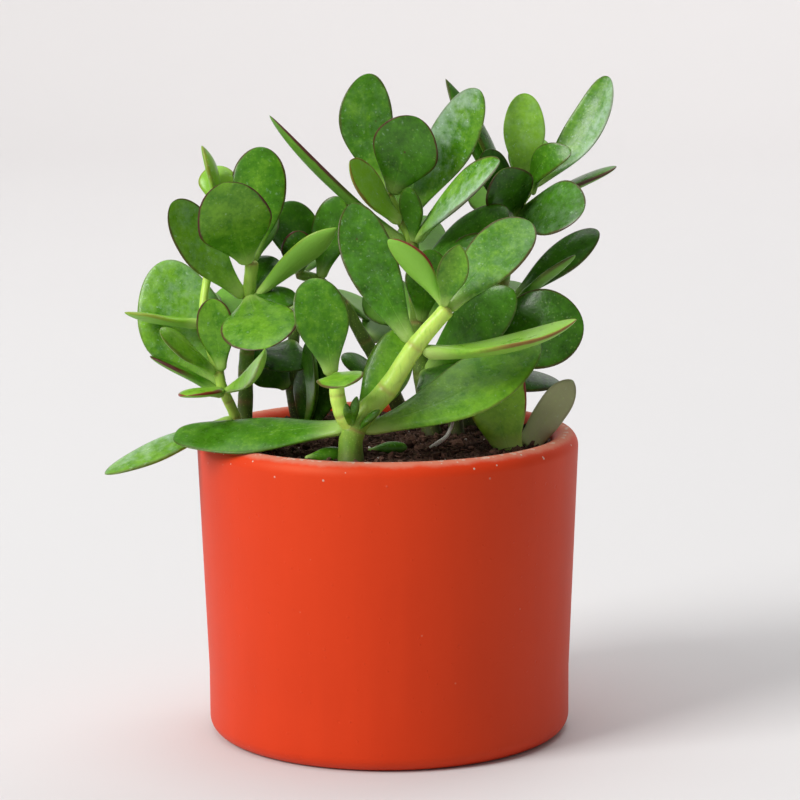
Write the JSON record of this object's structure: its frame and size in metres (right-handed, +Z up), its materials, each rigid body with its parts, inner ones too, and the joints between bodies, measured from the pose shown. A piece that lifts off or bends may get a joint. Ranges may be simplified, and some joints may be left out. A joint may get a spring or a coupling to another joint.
{
  "type": "potted jade plant",
  "caption": "Jade plant with thick branching stems and fleshy oval leaves, growing in a plain round tapered planter with rounded rim, filled with soil.",
  "frame": {"origin": "Centre of the pot's flat underside, on the pot's axis of revolution.", "axes": "+Z up along the pot's axis, +X to the right of the front view, -Y to the front, towards the viewer."},
  "size_m": [0.1602, 0.1257, 0.2067],
  "materials": {
    "pot": "satin painted",
    "soil": "rough granular",
    "stem_green": "smooth, glossy",
    "stem_woody": "smooth, slightly matte",
    "leaf": "glossy, fleshy",
    "leaf_young": "glossy, fleshy",
    "leaf_shaded": "glossy, fleshy",
    "leaf_old": "dull, fleshy"
  },
  "bodies": {
    "root": {"pot": "pot", "soil": "soil", "stem_front": "stem_green", "stem_left": "stem_woody", "stem_far_left": "stem_green", "stem_back_left": "stem_woody", "stem_centre": "stem_woody", "stem_right": "stem_woody", "stem_far_right": "stem_woody", "stem_back": "stem_woody", "stem_front_left": "stem_green", "leaf_centre_1": "leaf", "leaf_centre_2": "leaf", "leaf_centre_3": "leaf", "leaf_centre_4": "leaf", "leaf_centre_5": "leaf", "leaf_centre_6": "leaf", "leaf_centre_7": "leaf", "leaf_centre_8": "leaf", "leaf_right_1": "leaf_shaded", "leaf_right_2": "leaf_young", "leaf_right_3": "leaf", "leaf_right_4": "leaf", "leaf_right_5": "leaf", "leaf_right_6": "leaf", "leaf_right_7": "leaf_shaded", "leaf_right_8": "leaf", "leaf_front_1": "leaf_young", "leaf_front_2": "leaf_young", "leaf_front_3": "leaf", "leaf_front_4": "leaf_shaded", "leaf_front_5": "leaf_young", "leaf_front_6": "leaf", "leaf_front_7": "leaf", "leaf_front_8": "leaf_shaded", "leaf_front_left_1": "leaf", "leaf_front_left_2": "leaf", "leaf_far_right_1": "leaf_shaded", "leaf_far_right_2": "leaf_shaded", "leaf_far_right_3": "leaf", "leaf_far_left_1": "leaf", "leaf_far_left_2": "leaf", "leaf_far_left_3": "leaf", "leaf_far_left_4": "leaf_young", "leaf_far_left_5": "leaf", "leaf_far_left_6": "leaf_young", "leaf_far_left_7": "leaf_young", "leaf_far_left_8": "leaf", "leaf_left_1": "leaf", "leaf_left_2": "leaf", "leaf_left_3": "leaf", "leaf_left_4": "leaf_young", "leaf_left_5": "leaf", "leaf_back_1": "leaf_shaded", "leaf_back_2": "leaf_shaded", "leaf_back_3": "leaf_shaded", "leaf_back_4": "leaf", "leaf_back_left_1": "leaf", "cutting_1": "leaf", "cutting_2": "leaf_old"}
  },
  "joints": []
}
